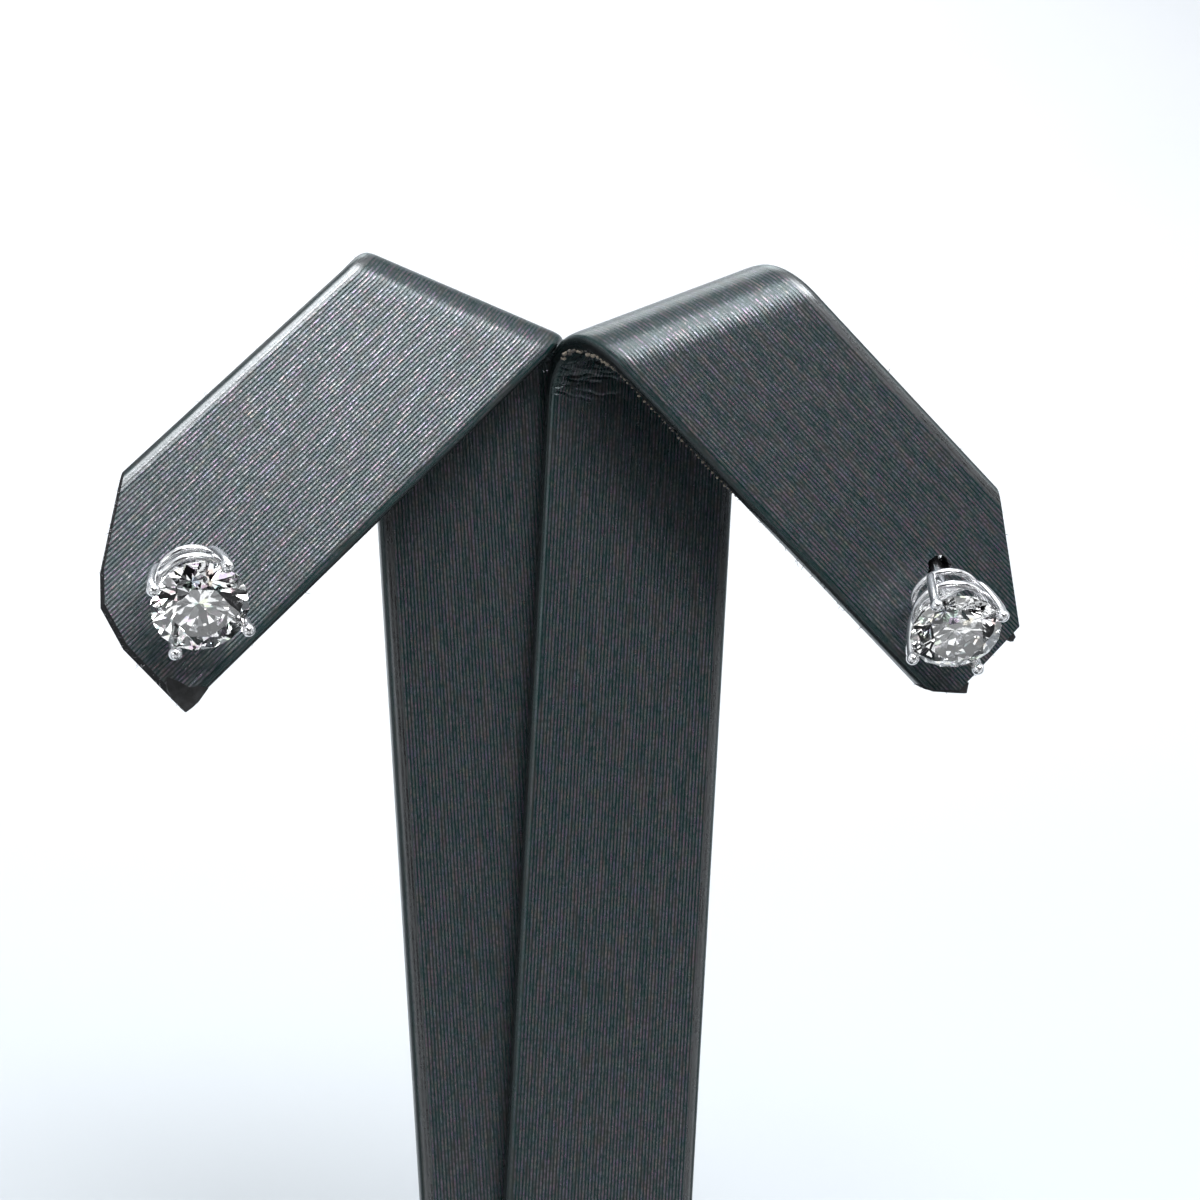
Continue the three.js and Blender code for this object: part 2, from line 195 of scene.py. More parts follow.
def folds():
    left_end = ((-1, 0.58), (-0.46, 0.175), (-0.22, 0.06), (0.2, 0), (0.94, 0), (1, 0.03))
    right_end = ((-1, 0.17), (-0.94, 0.1), (-0.75, 0), (0.16, 0), (1, 0.575))
    return {
        "left": Fold(
            layer=1, x=-2.85, height=76.8, turn=-0.5, slant=-25.5, radius=1.8, angle=165,
            wing_end=37.85, outline=left_end,
        ),
        "right": Fold(
            layer=0, x=9.5, height=74.4, turn=6, slant=23.5, radius=3.1, angle=175,
            wing_end=39.35, outline=right_end,
        ),
    }


# Where each stud's hole is on its strip, in millimetres, and where the stone looks, in degrees
STUDS = {
    "left": {"across": -0.43, "along": 30.75, "azimuth": 1, "drop": 13, "spin": 61},
    "right": {"across": 0.15, "along": 31.8, "azimuth": -9, "drop": 25, "spin": 32},
}


class Hanging:
    """Where a stud stands: its axis, the hole's point, and the places on the axis."""

    def __init__(self, side, fold):
        look, stud = bpy.context.scene.stand, bpy.context.scene.stud
        spot = STUDS[side]
        azimuth, drop = math.radians(spot["azimuth"]), math.radians(spot["drop"])
        level = math.cos(drop)
        self.axis = Vector((math.sin(azimuth) * level, -math.cos(azimuth) * level, -math.sin(drop)))
        self.hole = fold.point(spot["across"] * MM, spot["along"] * MM)
        right = Vector((0, 0, 1)).cross(self.axis).normalized()
        up = self.axis.cross(right)
        turn = Matrix((right, up, self.axis)).transposed().to_4x4()
        self.frame = Matrix.Translation(self.hole) @ turn
        square = fold.square(spot["across"] * MM, spot["along"] * MM)
        tilt = math.acos(abs(self.axis.dot(square)))
        rail, wire = stud.rail_wire / MM, stud.prong_wire / MM
        self.skin = (look.strip_thickness / MM / 2 + HANGING_GAP) / math.cos(tilt)
        rim = REAR_RADIUS + rail / 2 + wire / 4
        self.girdle = self.skin + rim * math.tan(tilt) + BASKET_DEPTH + rail / 2 + wire / 2
        self.pad = -self.skin - stud.back / MM / 2 * math.tan(tilt)
        self.spin = math.radians(spot["spin"])

    def local(self, height, spin=0.0):
        """From millimetres on the stud's axis, zero at the given height, to the row frame."""
        up = Matrix.Translation((0, 0, height))
        return self.frame @ Matrix.Scale(MM, 4) @ up @ Matrix.Rotation(spin, 4, "Z")


# Shared mesh steps


def linked(name, data):
    obj = bpy.data.objects.new(name, data)
    bpy.context.scene.collection.objects.link(obj)
    return obj


def to_mesh(bm, name, materials=()):
    mesh = bpy.data.meshes.new(name)
    bm.to_mesh(mesh)
    bm.free()
    for material in materials:
        mesh.materials.append(material)
    return mesh


def from_mesh(mesh):
    bm = bmesh.new()
    bm.from_mesh(mesh)
    return bm


def mesh_of(bm, name="blank", materials=()):
    """The mesh of a closed shape, with its faces outward."""
    bm.normal_update()
    bmesh.ops.recalc_face_normals(bm, faces=bm.faces[:])
    return to_mesh(bm, name, materials)


def settle(name, bm, materials, replaces=(), sharp=40):
    """Makes an object of a finished mesh, sets its shading and lets it ride on the body."""
    limit = math.radians(sharp)
    for edge in bm.edges:
        edge.smooth = len(edge.link_faces) == 2 and edge.calc_face_angle(0.0) < limit
    for face in bm.faces:
        face.smooth = True
    obj = linked(name, to_mesh(bm, name, materials))
    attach(obj, BODY)
    if replaces:
        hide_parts(*replaces)


def everything(bm):
    return bm.verts[:] + bm.edges[:] + bm.faces[:]


def verts_in(geom):
    return [g for g in geom if isinstance(g, bmesh.types.BMVert)]


def rounded(bm, geom, offset, segments, affect="VERTICES"):
    bmesh.ops.bevel(
        bm, geom=geom, offset=offset, segments=segments, profile=0.5, affect=affect, material=-1
    )


def slice_off(bm, point, normal, dist):
    """Cuts away what lies past a plane and closes the cut."""
    cut = bmesh.ops.bisect_plane(
        bm, geom=everything(bm), dist=dist, plane_co=point, plane_no=normal, clear_outer=True
    )
    rim = [e for e in cut["geom_cut"] if isinstance(e, bmesh.types.BMEdge) and e.is_valid]
    bmesh.ops.holes_fill(bm, edges=rim, sides=0)


def combine(meshes, operation="UNION"):
    """Joins or cuts closed meshes in order with exact booleans, and returns the first, changed."""
    made = [linked("blank", mesh) for mesh in meshes]
    for tool in made[1:]:
        step = made[0].modifiers.new("cut", "BOOLEAN")
        step.operation, step.solver, step.object = operation, "EXACT", tool
    bpy.context.view_layer.update()
    graph = bpy.context.evaluated_depsgraph_get()
    result = bpy.data.meshes.new_from_object(made[0].evaluated_get(graph))
    for obj, mesh in zip(made, meshes):
        bpy.data.objects.remove(obj)
        if mesh.users == 0:
            bpy.data.meshes.remove(mesh)
    return result


def circle(bm, segments, radius, matrix):
    """A ring's vertices and its edges."""
    verts = bmesh.ops.create_circle(bm, segments=segments, radius=radius, matrix=matrix)["verts"]
    return verts, list(dict.fromkeys(e for v in verts for e in v.link_edges))


def rod(radius, segments, depth):
    """A new cylinder round Z."""
    bm = bmesh.new()
    bmesh.ops.create_cone(
        bm, cap_ends=True, segments=segments, radius1=radius, radius2=radius, depth=depth
    )
    return bm


def box(width, depth, low, tall):
    """A new box round Z."""
    bm = bmesh.new()
    size = Matrix.Diagonal((width, depth, tall, 1))
    bmesh.ops.create_cube(bm, size=1, matrix=Matrix.Translation((0, 0, low + tall / 2)) @ size)
    return bm


def sweep(bm, path, radii, sides):
    """Draws a round wire along a path by extruding its first ring from point to point."""
    points = [Vector(p) for p in path]
    aims = []
    for i in range(len(points)):
        before, after = points[max(i - 1, 0)], points[min(i + 1, len(points) - 1)]
        aims.append((after - before).normalized())
    side = aims[0].orthogonal().normalized()

    def stand(i):
        nonlocal side
        side = (side - aims[i] * side.dot(aims[i])).normalized()
        turn = Matrix((side, aims[i].cross(side), aims[i])).transposed().to_4x4()
        return Matrix.Translation(points[i]) @ turn @ Matrix.Scale(radii[i], 4)

    here = stand(0)
    _, start = circle(bm, sides, 1.0, here)
    edges = start
    for i in range(1, len(points)):
        out = bmesh.ops.extrude_edge_only(bm, edges=edges)["geom"]
        verts = verts_in(out)
        edges = [g for g in out if isinstance(g, bmesh.types.BMEdge)]
        edges = [e for e in edges if all(v in verts for v in e.verts)]
        there = stand(i)
        bmesh.ops.transform(bm, matrix=there @ here.inverted(), verts=verts)
        here = there
    for end in (start, edges):
        bmesh.ops.holes_fill(bm, edges=end, sides=0)


def spun(bm, geom, steps):
    """The closed mesh of a profile spun all the way round Z."""
    bmesh.ops.spin(
        bm, geom=geom, cent=(0, 0, 0), axis=(0, 0, 1), angle=math.tau, steps=steps,
        use_merge=True, use_duplicate=False,
    )
    bmesh.ops.remove_doubles(bm, verts=bm.verts[:], dist=NEAR_MM)
    return mesh_of(bm)


def turned(profile, steps):
    """The mesh that a profile of (radius, height) pairs makes round Z, closed at its poles."""
    bm = bmesh.new()
    verts = [bm.verts.new((r, 0, z)) for r, z in profile]
    edges = [bm.edges.new(pair) for pair in zip(verts, verts[1:])]
    return spun(bm, verts + edges, steps)


# Materials


class Nodes:
    """Adds and links nodes in one tree with few words."""

    def __init__(self, tree):
        self.tree = tree

    def add(self, kind, inputs=None, **settings):
        node = self.tree.nodes.new(kind)
        for key, value in settings.items():
            setattr(node, key, value)
        for key, value in (inputs or {}).items():
            self.feed(node.inputs[key], value)
        return node

    def feed(self, socket, value):
        if isinstance(value, bpy.types.NodeSocket):
            self.tree.links.new(value, socket)
        elif socket.type == "RGBA" and len(value) == 3:
            socket.default_value = (*value, 1.0)
        else:
            socket.default_value = value

    def math(self, operation, a, b=0.0, c=None, clamp=False):
        inputs = {0: a, 1: b}
        if c is not None:
            inputs[2] = c
        return self.add("ShaderNodeMath", inputs, operation=operation, use_clamp=clamp).outputs[0]

    def ramp(self, value, low, high, to_low=0.0, to_high=1.0):
        """A smooth step from to_low to to_high as value goes from low to high."""
        inputs = {"Value": value, "From Min": low, "From Max": high, "To Min": to_low, "To Max": to_high}
        return self.add("ShaderNodeMapRange", inputs, interpolation_type="SMOOTHSTEP").outputs[0]

    def mix(self, share, a, b):
        node = self.add("ShaderNodeMix", {"Factor": share}, data_type="RGBA")
        self.feed(node.inputs[6], a)
        self.feed(node.inputs[7], b)
        return node.outputs[2]

    def spot(self):
        """The point shaded, in the piece's own Object coordinates."""
        return self.add("ShaderNodeTexCoord").outputs["Object"]

    def noise(self, vector, scale, detail=2.0, roughness=0.5, dimensions="3D", out="Fac"):
        inputs = {"Vector": vector, "Scale": scale, "Detail": detail, "Roughness": roughness}
        return self.add("ShaderNodeTexNoise", inputs, noise_dimensions=dimensions).outputs[out]

    def cells(self, vector, scale):
        """How far the point is from its cell's middle, and random values of the cell's own."""
        inputs = {"Vector": vector, "Scale": scale}
        found = self.add("ShaderNodeTexVoronoi", inputs, feature="F1").outputs
        values = self.add("ShaderNodeSeparateColor", {"Color": found["Color"]}).outputs
        return found["Distance"], values

    def bump(self, shader, strength, distance, height):
        inputs = {"Strength": strength, "Distance": distance * MM, "Height": height}
        self.feed(shader.inputs["Normal"], self.add("ShaderNodeBump", inputs).outputs[0])

    def xyz(self, x, y, z=0.0):
        return self.add("ShaderNodeCombineXYZ", {"X": x, "Y": y, "Z": z}).outputs[0]

    def split(self, vector):
        return self.add("ShaderNodeSeparateXYZ", {"Vector": vector}).outputs


def effect(name, inputs, outputs):
    """A shader node group with named sockets, and a Nodes for its inside."""
    tree = bpy.data.node_groups.new(name, "ShaderNodeTree")
    for label, kind, default in inputs:
        socket = tree.interface.new_socket(label, in_out="INPUT", socket_type=kind)
        if default is not None:
            socket.default_value = default
    for label, kind in outputs:
        tree.interface.new_socket(label, in_out="OUTPUT", socket_type=kind)
    nodes = Nodes(tree)
    return tree, nodes, nodes.add("NodeGroupInput").outputs, nodes.add("NodeGroupOutput").inputs


FLOAT, VECTOR, COLOUR = "NodeSocketFloat", "NodeSocketVector", "NodeSocketColor"


def ribbed_grain():
    """Ribs along a strip, broken into glinting dashes, from its own UV in metres."""
    tree, n, given, out = effect(
        "Ribbed grain",
        [("Vector", VECTOR, None), ("Rib Pitch", FLOAT, 0.24 * MM), ("Dash Length", FLOAT, 2.4 * MM)],
        [("Dashes", FLOAT), ("Cloud", FLOAT), ("Hue", COLOUR), ("Height", FLOAT)],
    )
    x, y, _ = n.split(given["Vector"])
    ribs = n.math("DIVIDE", x, given["Rib Pitch"])
    along = n.math("DIVIDE", y, given["Dash Length"])
    number = n.math("FLOOR", n.math("ADD", ribs, 0.5))
    crest = n.math("MULTIPLY_ADD", n.math("COSINE", n.math("MULTIPLY", ribs, math.tau)), 0.5, 0.5)
    own = n.xyz(n.math("MULTIPLY", number, 7.31), along)
    broken = n.noise(own, 1.0, 3.0, 0.62, "2D")
    speck = n.xyz(n.math("MULTIPLY", ribs, 0.9), n.math("MULTIPLY", along, 8.0))
    fine = n.noise(speck, 1.0, 2.0, 0.7, "2D")
    long_dashes = n.ramp(broken, 0.28, 0.74, 0.3, 1.15)
    lit = n.math("MULTIPLY", long_dashes, n.ramp(fine, 0.28, 0.7, 0.25, 1.15))
    n.feed(out["Dashes"], n.math("MULTIPLY", n.ramp(crest, 0.1, 0.85), lit, clamp=True))
    streaks = n.xyz(n.math("MULTIPLY", ribs, 0.3), n.math("MULTIPLY", along, 0.6))
    n.feed(out["Cloud"], n.noise(streaks, 1.0, 4.0, 0.65, "2D"))
    n.feed(out["Hue"], n.noise(speck, 0.35, 2.0, 0.6, "2D", out="Color"))
    n.feed(out["Height"], n.math("MULTIPLY_ADD", broken, 0.7, n.math("MULTIPLY", fine, 0.5)))
    return tree


def edge_wear_and_highlight():
    """A lighter rubbed line near a piece's outer long edges, partly real rubbing and partly a painted
    highlight where the rounded edge catches the light, and a darker line right at the long edges.
    """
    tree, n, given, out = effect(
        "Edge wear and highlight",
        [("Edge", FLOAT, 0.0), ("Vector", VECTOR, None), ("Amount", FLOAT, 1.0)],
        [("Rubbed Highlight", FLOAT), ("Dark Edge Line", FLOAT)],
    )
    wander = n.noise(given["Vector"], 420.0, 3.0, 0.6)
    shift = n.math("MULTIPLY_ADD", wander, 0.1, -0.05)
    outer = n.math("ADD", given["Edge"], shift)
    either = n.math("ADD", n.math("ABSOLUTE", given["Edge"]), shift)
    # Painted highlight with real rubbing: a band just in from the outer edge, where the rounded edge
    # catches the light
    rubbed_highlight = n.math("MULTIPLY", n.ramp(outer, 0.4, 0.55), n.ramp(outer, 0.88, 0.78))
    n.feed(out["Rubbed Highlight"], n.math("MULTIPLY", rubbed_highlight, given["Amount"], clamp=True))
    # A darker line right at both long edges
    n.feed(out["Dark Edge Line"], n.math("MULTIPLY", n.ramp(either, 0.84, 0.95), given["Amount"], clamp=True))
    return tree


def dust():
    """Sparse pale specks."""
    tree, n, given, out = effect(
        "Dust",
        [("Vector", VECTOR, None), ("Scale", FLOAT, 300.0), ("Size", FLOAT, 0.06)],
        [("Mask", FLOAT)],
    )
    distance, pick = n.cells(given["Vector"], given["Scale"])
    speck = n.math("LESS_THAN", distance, given["Size"])
    n.feed(out["Mask"], n.math("MULTIPLY", speck, n.math("GREATER_THAN", pick[0], 0.9)))
    return tree


EFFECTS = {"Ribbed grain": ribbed_grain, "Edge wear and highlight": edge_wear_and_highlight, "Dust": dust}


def group(nodes, name, inputs):
    """An effect's outputs. Its node group is made when it is first asked for."""
    tree = bpy.data.node_groups.get(name) or EFFECTS[name]()
    return nodes.add("ShaderNodeGroup", inputs, node_tree=tree).outputs


def surface(name):
    material = bpy.data.materials.new(name)
    material.use_nodes = True
    return material, Nodes(material.node_tree), material.node_tree.nodes["Principled BSDF"]


def leatherette_material():
    look = bpy.context.scene.stand
    material, n, shader = surface("Ribbed leatherette")
    uv, spot = n.add("ShaderNodeUVMap", uv_map="Wrap").outputs[0], n.spot()
    edge = n.add("ShaderNodeAttribute", attribute_name="edge").outputs["Fac"]
    stretch = n.add("ShaderNodeAttribute", attribute_name="stretch").outputs["Fac"]
    grain = group(
        n, "Ribbed grain", {"Vector": uv, "Rib Pitch": look.rib_pitch, "Dash Length": 2.4 * MM}
    )
    wear_and_highlight = group(n, "Edge wear and highlight", {"Edge": edge, "Vector": spot, "Amount": 1.0})
    specks = group(n, "Dust", {"Vector": spot, "Scale": 190.0, "Size": 0.02})
    inside = n.ramp(n.math("ABSOLUTE", edge), 0.5, 0.8, 1.0, 0.25)
    kept = n.math("MULTIPLY", inside, n.ramp(stretch, 0.0, 1.0, 1.0, 0.6))
    dashes = n.math("MULTIPLY", grain["Dashes"], kept)
    warm = n.math("MULTIPLY", n.ramp(grain["Cloud"], 0.5, 0.64), 0.75)
    ground = n.mix(warm, look.leather, look.leather_brown)
    hue = n.mix(0.5, (0.5, 0.5, 0.5), grain["Hue"])
    pearl = n.add("ShaderNodeMix", {"Factor": 0.7}, data_type="RGBA", blend_type="OVERLAY")
    n.feed(pearl.inputs[6], look.leather_glint)
    n.feed(pearl.inputs[7], hue)
    base = n.mix(dashes, ground, pearl.outputs[2])
    # Painted highlight along the outer edges: the rubbed band is lightened in colour and made more
    # metallic, for the light that the rounded edge catches as well as for rubbing
    rubbed_highlight = n.mix(n.math("MULTIPLY", wear_and_highlight["Rubbed Highlight"], 0.8), base, (0.135, 0.14, 0.145))
    # Colour darkened to a near black line right at the long edges
    dark = n.mix(n.math("MULTIPLY", wear_and_highlight["Dark Edge Line"], 0.7), rubbed_highlight, (0.006, 0.0065, 0.007))
    dusty = n.mix(specks["Mask"], dark, (0.7, 0.7, 0.7))
    n.feed(shader.inputs["Base Color"], dusty)
    shine = n.math("MULTIPLY_ADD", wear_and_highlight["Rubbed Highlight"], 0.6, n.math("MULTIPLY", dashes, 0.85), clamp=True)
    n.feed(shader.inputs["Metallic"], shine)
    n.feed(shader.inputs["Roughness"], n.ramp(grain["Cloud"], 0.3, 0.7, 0.24, 0.31))
    shader.inputs["Specular IOR Level"].default_value = 0.5
    shader.inputs["Specular Tint"].default_value = (0.87, 1.0, 1.03, 1.0)
    n.bump(shader, 0.6, 0.03, grain["Height"])
    return material


def core_material():
    look = bpy.context.scene.stand
    material, n, shader = surface("Cut core")
    spot = n.spot()
    grit = n.noise(spot, 5200.0, 3.0, 0.7)
    wisps = n.noise(spot, 2100.0, 2.0, 0.6)
    base = n.mix(n.ramp(grit, 0.35, 0.7), look.core, (0.022, 0.022, 0.024))
    pale = n.mix(n.ramp(wisps, 0.66, 0.74, 0.0, 0.5), base, look.fibre)
    n.feed(shader.inputs["Base Color"], pale)
    shader.inputs["Roughness"].default_value = 0.9
    shader.inputs["Specular IOR Level"].default_value = 0.1
    n.bump(shader, 0.8, 0.1, grit)
    return material


def thread_material(name, tint, dark, sheen=0.3):
    material, n, shader = surface(name)
    spot = n.spot()
    patch = n.noise(spot, 1500.0, 3.0, 0.6)
    n.feed(shader.inputs["Base Color"], n.mix(n.ramp(patch, 0.35, 0.65), tint, dark))
    shader.inputs["Roughness"].default_value = 0.85
    shader.inputs["Sheen Weight"].default_value = sheen
    n.bump(shader, 0.5, 0.04, n.noise(spot, 9000.0))
    return material


def metal_material():
    look = bpy.context.scene.stud
    material, n, shader = surface("Polished white metal")
    spot = n.spot()
    swirl = n.noise(spot, 900.0, 3.0, 0.6)
    fine = n.noise(spot, 800.0, 1.0, 0.5)
    tone = n.mix(n.ramp(swirl, 0.4, 0.75, 0.0, 0.35), look.metal, (0.74, 0.745, 0.77))
    n.feed(shader.inputs["Base Color"], tone)
    shader.inputs["Metallic"].default_value = 1.0
    n.feed(shader.inputs["Roughness"], n.ramp(swirl, 0.35, 0.7, 0.17, 0.22))
    n.bump(shader, 0.02, 0.004, fine)
    return material


def stone_material():
    look = bpy.context.scene.stud
    material, n, shader = surface("Clear stone")
    spot = n.spot()
    # Painted light: sparse cells tint the stone in pale hues, standing in for the coloured flashes of
    # dispersed light
    _, (pick, hue, _) = n.cells(spot, 2100.0)
    painted_fire = n.add("ShaderNodeCombineColor", {0: hue, 1: 0.35, 2: 1.0}, mode="HSV").outputs[0]
    tint = n.noise(spot, 420.0, 1.0, 0.5)
    clear = n.mix(n.ramp(tint, 0.4, 0.62), look.gem, (0.955, 0.96, 0.93))
    n.feed(shader.inputs["Base Color"], n.mix(n.ramp(pick, 0.84, 0.88), clear, painted_fire))
    shader.inputs["Transmission Weight"].default_value = 1.0
    shader.inputs["IOR"].default_value = 2.42
    shader.inputs["Roughness"].default_value = 0.0
    return material


def felt_material():
    look = bpy.context.scene.stand
    material, n, shader = surface("Base felt")
    spot = n.spot()
    nap = n.noise(spot, 4000.0, 4.0, 0.7)
    n.feed(shader.inputs["Base Color"], n.mix(n.ramp(nap, 0.3, 0.7), look.felt, (0.07, 0.07, 0.078)))
    shader.inputs["Roughness"].default_value = 0.95
    n.bump(shader, 0.7, 0.15, nap)
    return material


FINISHES = {
    "Ribbed leatherette": leatherette_material,
    "Cut core": core_material,
    "Polished white metal": metal_material,
    "Clear stone": stone_material,
    "Base felt": felt_material,
}


def finish(name):
    """One of the object's finishes, made when it is first asked for."""
    look = bpy.context.scene.stand
    threads = {
        "Knitted backing": (look.backing, (0.09, 0.08, 0.07)),
        "Dark lint": ((0.03, 0.03, 0.035), (0.11, 0.11, 0.12)),
        "Torn wrap": ((0.003, 0.0034, 0.004), (0.017, 0.018, 0.02), 0.06),
        "White fibres": (look.fibre, (0.4, 0.39, 0.43)),
    }
    if name in bpy.data.materials:
        return bpy.data.materials[name]
    return FINISHES[name]() if name in FINISHES else thread_material(name, *threads[name])


def wrapped():
    """The finishes of a wrapped piece: its leatherette, and the core where it is cut."""
    return [finish("Ribbed leatherette"), finish("Cut core")]


# The two wrapped strips

COLUMNS_A_RIB = 4
BEND_ROWS = 30

# How far an edge's wear can reach inward, and how far the inner face's UV lies from the outer's
WEAR_REACH, INNER_SHIFT = 1.6 * MM, 40 * MM


def rib_sink(fold, across):
    """How far the skin lies below a rib's crest. The ribs fade out near the long edges."""
    look = bpy.context.scene.stand
    fade = min(1.0, max(0.0, (fold.half - abs(across) - RIB_MARGIN) / RIB_FADE))
    return look.rib_height * fade * (0.5 - 0.5 * math.cos(math.tau * across / look.rib_pitch))


def flat_strip(fold):
    """The strip before it is folded: its ribbed, padded section drawn out and its end clipped."""
    look = bpy.context.scene.stand
    half, deep = fold.half, fold.deep
    bm = bmesh.new()
    section = ((-half, -deep), (half, -deep), (half, deep), (-half, deep))
    corners = [bm.verts.new((x, fold.foot, z)) for x, z in section]
    bm.faces.new(corners)
    rounded(bm, corners, look.edge_radius, 6)
    bmesh.ops.delete(bm, geom=bm.faces[:], context="FACES_ONLY")
    flats = [e for e in bm.edges if e.calc_length() > half]
    ribs = round((look.strip_width - 2 * look.edge_radius) / look.rib_pitch)
    bmesh.ops.subdivide_edges(bm, edges=flats, cuts=COLUMNS_A_RIB * ribs - 1)
    for v in bm.verts:
        near = max(0.0, (abs(v.co.x) - half + look.shoulder_width) / look.shoulder_width)
        sink = look.shoulder * near**2 + rib_sink(fold, v.co.x)
        v.co.z -= math.copysign(sink * abs(v.co.z) / deep, v.co.z)
    out = bmesh.ops.extrude_edge_only(bm, edges=bm.edges[:])["geom"]
    reach = fold.wing_end + look.strip_thickness - fold.foot
    bmesh.ops.translate(bm, verts=verts_in(out), vec=(0, reach, 0))
    bmesh.ops.holes_fill(bm, edges=bm.edges[:], sides=0)
    bmesh.ops.recalc_face_normals(bm, faces=bm.faces[:])
    for (x0, y0), (x1, y1) in zip(fold.outline, fold.outline[1:]):
        slice_off(bm, (x0, y0, 0), (y0 - y1, x1 - x0, 0), NEAR_METRES)
    return bm


def mark_strip(bm, fold):
    """Lays out the wrap's UV in metres, its attributes and the cut ends' own material.

    edge is 1 on the wing's outer edge, -1 on its inner edge and 0 between them. stretch is 1 at
    the middle of the bend.
    """
    uv = bm.loops.layers.uv.new("Wrap")
    edge = bm.verts.layers.float.new("edge")
    stretch = bm.verts.layers.float.new("stretch")
    for v in bm.verts:
        x, y, _ = v.co
        v[stretch] = fold.on_bend(x, y)
        v[edge] = max(0.0, 1 - (fold.half - abs(x)) / WEAR_REACH) * (1 if x * fold.s > 0 else -1)
    for face in bm.faces:
        face.normal_update()
        normal = face.normal
        if abs(normal.y) > 0.3:
            face.material_index = CORE
        for loop in face.loops:
            x, y, z = loop.vert.co
            if abs(normal.z) >= abs(normal.x):
                loop[uv].uv = (x if normal.z < 0 else x + INNER_SHIFT, y)
            else:
                loop[uv].uv = (math.copysign(fold.half + z + fold.deep, x), y)


def wrinkle_strip(bm, fold, depth):
    """Presses the inner face into creases just under the fold, where it is squeezed."""
    rng = random.Random(11)
    creases = [(0.25 - 0.21 * i, rng.uniform(0.5, 1.0), rng.uniform(0, 6.0)) for i in range(16)]
    width = 0.07
    for v in bm.verts:
        x, y, z = v.co
        x *= math.copysign(1, fold.s)
        level = (y + 0.06 * x) / MM
        if z < fold.deep * 0.4 or not -4.0 < level < 1.0:
            continue
        press = 0.0
        for at, strength, phase in creases:
            wave, ripple = math.sin(x / MM * 1.3 + phase), math.sin(x / MM * 4.1 + 2 * phase)
            middle = at + 0.13 * wave + 0.05 * ripple
            share = max(0.0, math.sin(x / MM * 0.9 + phase * 1.7) * 0.7 + 0.45)
            press += depth * strength * share * math.exp(-(((level - middle) / width) ** 2))
        side = min(1.0, (fold.half - abs(x)) / (0.4 * MM), (-0.8 * MM - x) / (2.5 * MM))
        v.co.z -= press * max(side, 0.0)


def fold_strip(side, fold):
    """The finished mesh of one strip, with its ribs pressed flat where it bends."""
    bm = flat_strip(fold)
    bend = fold.radius * fold.angle
    rows = [bend * i / BEND_ROWS for i in range(BEND_ROWS + 1)]
    rows += [0.08 * MM * i for i in range(-32, 42) if i]
    rows += [bend + step * MM for step in (1, 3, 8, 16, 24)] + [-12 * MM, -30 * MM, -50 * MM]
    for past in sorted(rows):
        bmesh.ops.bisect_plane(
            bm, geom=everything(bm), dist=NEAR_METRES, plane_co=(-fold.s * past, fold.c * past, 0),
            plane_no=(-fold.s, fold.c, 0),
        )
    mark_strip(bm, fold)
    wrinkle_strip(bm, fold, (0.16 if side == "right" else 0.09) * MM)
    rib_height = bpy.context.scene.stand.rib_height
    for v in bm.verts:
        x, y, z = v.co
        if z < -fold.deep / 2:
            v.co.z += (rib_height - rib_sink(fold, x)) * fold.on_bend(x, y)
        v.co = fold.point(*v.co)
    mesh = mesh_of(bm, "strip", wrapped())
    return combine([mesh, pin_hole(side, Hanging(side, fold))], "DIFFERENCE")


def pin_hole(side, hanging):
    """The ragged hole that the ear post has made, wider where the stud's weight drags on it."""
    rng = random.Random(5)
    bm = rod(bpy.context.scene.stud.post / MM / 2 + HOLE_PLAY, 18, 7)
    for v in bm.verts:
        v.co.xy *= rng.uniform(0.84, 1.14)
        if v.co.x > 0 and side == "right":
            v.co.x *= 1.55
    for face in bm.faces:
        face.material_index = CORE
    bm.transform(hanging.local(0))
    return mesh_of(bm, "hole", wrapped())


class STAND_OT_strips(bpy.types.Operator):
    """Builds the two wrapped strips that rise from the base and fold over into wings"""

    bl_idname = "stand.strips"
    bl_label = "Folded strips"

    def execute(self, context):
        for side, fold in folds().items():
            bm = from_mesh(fold_strip(side, fold))
            settle(f"{side}_strip_wrap", bm, wrapped(), (f"{side}_strip",), 48)
        return {"FINISHED"}


# The backing, lint and torn ends

# Stitches of the backing, in millimetres: loose near the fold, and tight further along
LOOSE = {"size": (0.12, 0.18), "out": (-0.02, 0.12), "step": (0.2, 0.32)}
TIGHT = {"size": (0.07, 0.12), "out": (-0.05, 0.04), "step": (0.24, 0.55)}

# Lint along the strips: which strip, on which edge, and how many hairs
LINT = (("right", -1, 80), ("left", 1, 16), ("right", 1, 12), ("left", -1, 8))

# Torn scraps, in millimetres on the sheet: the loose corner at the left tip, and the ragged lip
# and the nub at the right
SCRAPS = (
    {"side": "left", "depth": -0.95, "thick": 0.3, "outline": (
        (4.55, 37.5), (5.2, 38.1), (6.1, 38.2), (7.0, 38.25), (7.05, 37.2), (6.85, 36.0),
        (6.0, 36.9),
    )},
    {"side": "right", "depth": -0.5, "thick": 0.35, "outline": (
        (-6.85, 37.3), (-6.4, 38.2), (-5.6, 39.1), (-4.9, 39.9), (-4.2, 39.5), (-4.6, 39.0),
        (-5.8, 37.9),
    )},
    {"side": "right", "depth": -0.3, "thick": 0.5, "outline": (
        (0.3, 39.0), (0.0, 39.5), (0.15, 39.85), (0.5, 39.8), (0.7, 39.3), (0.6, 38.9),
    )},
)


def any_way(rng):
    return Vector([rng.uniform(-1, 1) for _ in range(3)])


